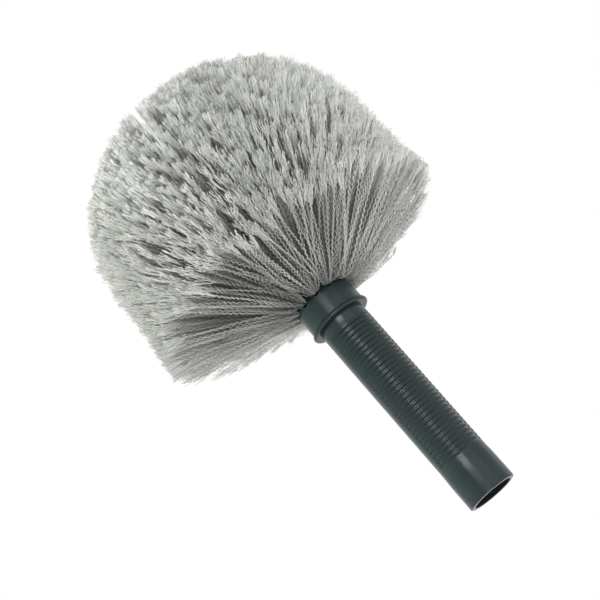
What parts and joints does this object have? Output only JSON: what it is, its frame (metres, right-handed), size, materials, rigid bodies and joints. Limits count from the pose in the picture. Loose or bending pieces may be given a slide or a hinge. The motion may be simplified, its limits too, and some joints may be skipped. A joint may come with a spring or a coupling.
{
  "type": "cobweb brush",
  "caption": "Domed brush head of long crimped bristle tufts on a hollow ribbed grip that slides over the end of an extension pole, for clearing cobwebs from ceilings and corners.",
  "frame": {"origin": "centre of the grip's open mouth, at its end face", "axes": "+Z along the brush's axis from the mouth to the top of the dome; +X and +Y square to it, with a smooth strip of the grip 17 degrees from +X towards +Y"},
  "size_m": [0.2128, 0.2128, 0.3411],
  "materials": {
    "grip": "satin dark grey moulded plastic",
    "head": "satin dark grey moulded plastic",
    "bristle": "light grey crimped filament with flagged ends",
    "anchor": "flat steel wire"
  },
  "bodies": {
    "root": {"grip_tube": "grip", "brush_head": "head", "tuft_lower_01": "bristle", "tuft_lower_02": "bristle", "tuft_lower_03": "bristle", "tuft_lower_04": "bristle", "tuft_lower_05": "bristle", "tuft_lower_06": "bristle", "tuft_lower_07": "bristle", "tuft_lower_08": "bristle", "tuft_lower_09": "bristle", "tuft_lower_10": "bristle", "tuft_lower_11": "bristle", "tuft_lower_12": "bristle", "tuft_middle_01": "bristle", "tuft_middle_02": "bristle", "tuft_middle_03": "bristle", "tuft_middle_04": "bristle", "tuft_middle_05": "bristle", "tuft_middle_06": "bristle", "tuft_middle_07": "bristle", "tuft_middle_08": "bristle", "tuft_middle_09": "bristle", "tuft_middle_10": "bristle", "tuft_upper_01": "bristle", "tuft_upper_02": "bristle", "tuft_upper_03": "bristle", "tuft_upper_04": "bristle", "tuft_upper_05": "bristle", "tuft_upper_06": "bristle", "tuft_crown_01": "bristle", "anchors_lower": "anchor", "anchors_middle": "anchor", "anchors_upper": "anchor", "anchors_crown": "anchor"}
  },
  "joints": []
}
